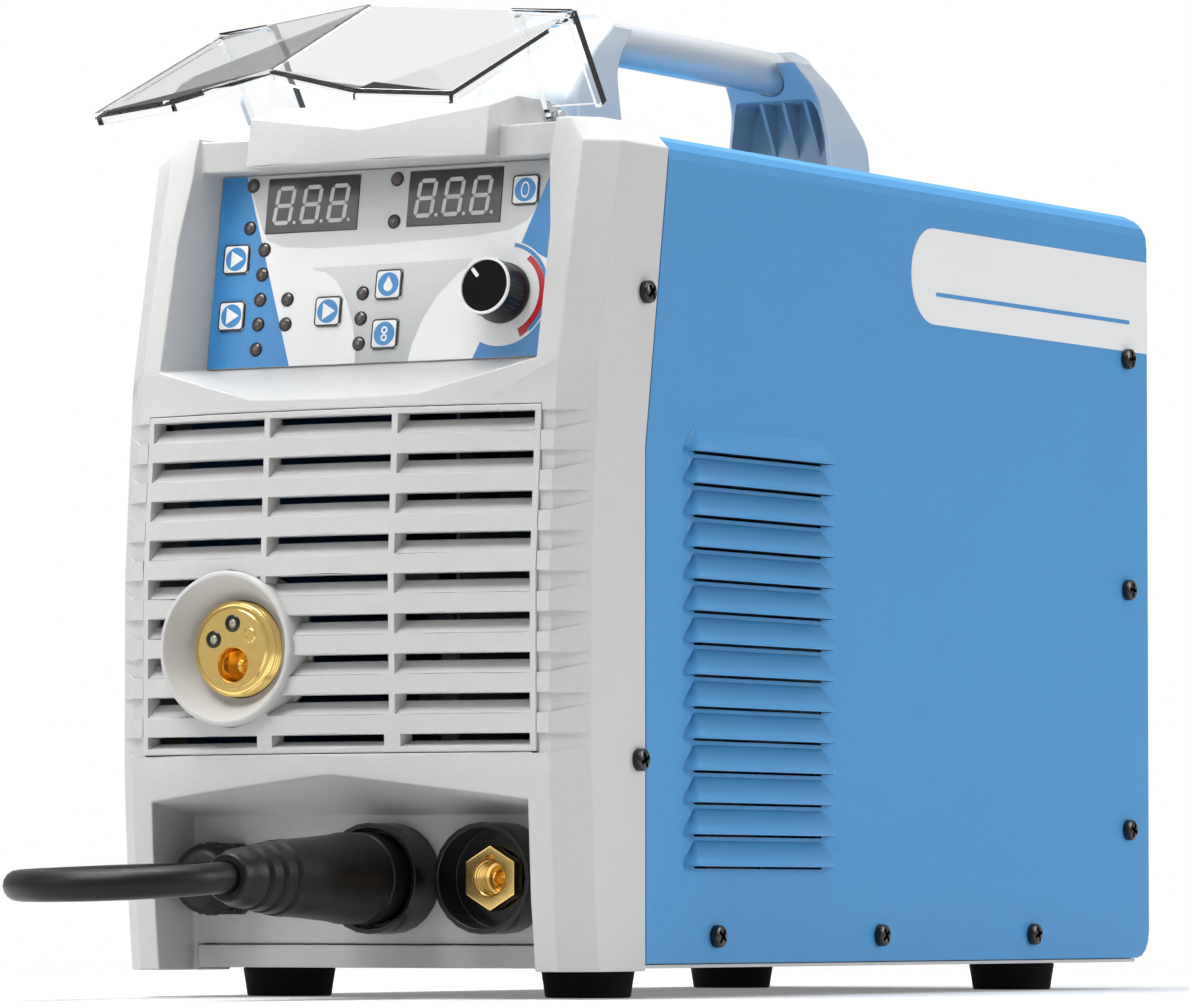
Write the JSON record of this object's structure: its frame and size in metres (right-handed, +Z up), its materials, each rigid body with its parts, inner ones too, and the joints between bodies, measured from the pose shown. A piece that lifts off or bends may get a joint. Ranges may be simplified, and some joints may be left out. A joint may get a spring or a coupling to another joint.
{
  "type": "mig welding machine",
  "caption": "Portable MIG welding machine: grey bezel with clear raised cover, display panel, louvred grille, torch and cable sockets with jumper lead, blue case, carrying handle.",
  "frame": {"origin": "centre of the machine and its raised cover on the floor plane, under the feet", "axes": "+Z up, -Y out of the control panel, +X to the right seen from the front"},
  "size_m": [0.2286, 0.6623, 0.4117],
  "materials": {
    "bezel_grey": "fine satin moulding",
    "case_blue": "semi-gloss powder coat, blue",
    "handle_grey": "satin moulding, blue-grey",
    "tray_grey": "light grey powder coat",
    "black_plastic": "satin black moulding",
    "black_rubber": "matt black rubber",
    "brass": "machined brass",
    "steel": "turned steel",
    "zinc": "zinc-plated sheet and casings",
    "clear_acrylic": "clear polished moulding",
    "panel_print": "printed control overlay, blue with grey and white fields",
    "display_window": "dark tinted display window",
    "lamp_board": "small grey-brown indicator lamps",
    "key_white": "white membrane key",
    "wire_copper": "copper-coated welding wire",
    "aluminium": "cast and extruded aluminium",
    "circuit_board": "green circuit board with components",
    "transformer_copper": "varnished copper windings"
  },
  "bodies": {
    "machine": {"front_bezel": "bezel_grey", "front_grille": "bezel_grey", "euro_collar": "bezel_grey", "euro_socket": "brass", "plug_socket_collar": "black_plastic", "return_socket_collar": "black_plastic", "plug_socket_insert": "brass", "return_socket_insert": "brass", "cable_gland": "black_plastic", "polarity_plug": "black_rubber", "polarity_cable": "black_rubber", "base_tray": "tray_grey", "foot_front_left": "black_rubber", "foot_front_right": "black_rubber", "foot_rear_left": "black_rubber", "foot_rear_right": "black_rubber", "case_cover": "case_blue", "door_hinge_pin": "steel", "rear_panel": "case_blue", "mains_gland": "black_plastic", "gas_valve": "brass", "switch_frame": "black_plastic", "handle_front_support": "handle_grey", "handle_rear_support": "handle_grey", "handle_grip": "handle_grey", "cover_pin_left": "steel", "cover_pin_right": "steel", "panel_overlay": "panel_print", "display_left": "display_window", "display_right": "display_window", "indicator_board": "lamp_board", "encoder_body": "zinc", "divider_plate": "zinc", "spool_hub": "black_plastic", "spool_nut": "black_plastic", "feeder_plate": "aluminium", "feed_motor": "zinc", "main_board": "circuit_board", "heatsink": "aluminium", "transformer": "transformer_copper", "fan_frame": "black_plastic"},
    "clear_cover": {"clear_cover": "clear_acrylic"},
    "encoder_knob": {"encoder_knob": "black_plastic"},
    "key_trigger_mode": {"key_trigger_mode": "key_white"},
    "key_process": {"key_process": "key_white"},
    "key_gas_mode": {"key_gas_mode": "key_white"},
    "key_gas_test": {"key_gas_test": "key_white"},
    "key_inch": {"key_inch": "key_white"},
    "key_function": {"key_function": "key_white"},
    "side_door": {"side_door": "case_blue"},
    "door_latch_upper": {"door_latch_upper": "black_plastic"},
    "door_latch_lower": {"door_latch_lower": "black_plastic"},
    "wire_spool": {"wire_spool": "black_plastic", "wire_winding": "wire_copper"},
    "drive_roll": {"drive_roll": "steel"},
    "pressure_arm": {"pressure_arm": "aluminium"},
    "idler_roll": {"idler_roll": "steel"},
    "tension_knob": {"tension_knob": "black_plastic"},
    "fan_blades": {"fan_blades": "black_plastic"},
    "power_switch_rocker": {"power_switch_rocker": "black_plastic"}
  },
  "joints": [
    {"name": "cover_hinge", "type": "hinge", "parent": "machine", "child": "clear_cover", "pos_m": [0, -0.15848, 0.3545], "axis": [1, 0, 0], "range_deg": [-35, 55]},
    {"name": "encoder_turn", "type": "hinge", "parent": "machine", "child": "encoder_knob", "pos_m": [0.0553, -0.19181, 0.28066], "axis": [0, -0.9888, 0.1495], "continuous": true},
    {"name": "press_trigger_mode", "type": "slide", "parent": "machine", "child": "key_trigger_mode", "axis": [0, 0.9888, -0.1495], "range_m": [0, 0.0005], "stiffness_N_per_m": 500, "springref_m": -0.001},
    {"name": "press_process", "type": "slide", "parent": "machine", "child": "key_process", "axis": [0, 0.9888, -0.1495], "range_m": [0, 0.0005], "stiffness_N_per_m": 500, "springref_m": -0.001},
    {"name": "press_gas_mode", "type": "slide", "parent": "machine", "child": "key_gas_mode", "axis": [0, 0.9888, -0.1495], "range_m": [0, 0.0005], "stiffness_N_per_m": 500, "springref_m": -0.001},
    {"name": "press_gas_test", "type": "slide", "parent": "machine", "child": "key_gas_test", "axis": [0, 0.9888, -0.1495], "range_m": [0, 0.0005], "stiffness_N_per_m": 500, "springref_m": -0.001},
    {"name": "press_inch", "type": "slide", "parent": "machine", "child": "key_inch", "axis": [0, 0.9888, -0.1495], "range_m": [0, 0.0005], "stiffness_N_per_m": 500, "springref_m": -0.001},
    {"name": "press_function", "type": "slide", "parent": "machine", "child": "key_function", "axis": [0, 0.9888, -0.1495], "range_m": [0, 0.0005], "stiffness_N_per_m": 500, "springref_m": -0.001},
    {"name": "door_hinge", "type": "hinge", "parent": "machine", "child": "side_door", "pos_m": [-0.1123, 0.25552, 0.1735], "axis": [0, 0, -1], "range_deg": [0, 110]},
    {"name": "upper_latch_turn", "type": "hinge", "parent": "side_door", "child": "door_latch_upper", "pos_m": [-0.11, -0.12848, 0.2595], "axis": [1, 0, 0], "range_deg": [0, 90]},
    {"name": "lower_latch_turn", "type": "hinge", "parent": "side_door", "child": "door_latch_lower", "pos_m": [-0.11, -0.12848, 0.0875], "axis": [1, 0, 0], "range_deg": [0, 90]},
    {"name": "spool_turn", "type": "hinge", "parent": "machine", "child": "wire_spool", "pos_m": [-0.052, 0.12552, 0.1635], "axis": [1, 0, 0], "continuous": true},
    {"name": "drive_roll_turn", "type": "hinge", "parent": "machine", "child": "drive_roll", "pos_m": [-0.0467, -0.06448, 0.1204], "axis": [1, 0, 0], "continuous": true},
    {"name": "pressure_arm_lift", "type": "hinge", "parent": "machine", "child": "pressure_arm", "pos_m": [-0.0467, -0.03048, 0.1515], "axis": [-1, 0, 0], "range_deg": [0, 45]},
    {"name": "idler_roll_turn", "type": "hinge", "parent": "pressure_arm", "child": "idler_roll", "pos_m": [-0.0467, -0.06448, 0.1551], "axis": [1, 0, 0], "continuous": true},
    {"name": "tension_knob_turn", "type": "hinge", "parent": "pressure_arm", "child": "tension_knob", "pos_m": [-0.0467, -0.08348, 0.1851], "axis": [0, 0, 1], "continuous": true},
    {"name": "fan_spin", "type": "hinge", "parent": "machine", "child": "fan_blades", "pos_m": [0.057, 0.25752, 0.1235], "axis": [0, 1, 0], "continuous": true},
    {"name": "power_switch", "type": "hinge", "parent": "machine", "child": "power_switch_rocker", "pos_m": [0.057, 0.26712, 0.2635], "axis": [1, 0, 0], "range_deg": [0, 20]}
  ],
  "couplings": [
    {"joint": "idler_roll_turn", "follows": "drive_roll_turn", "ratio": -1.2333}
  ]
}
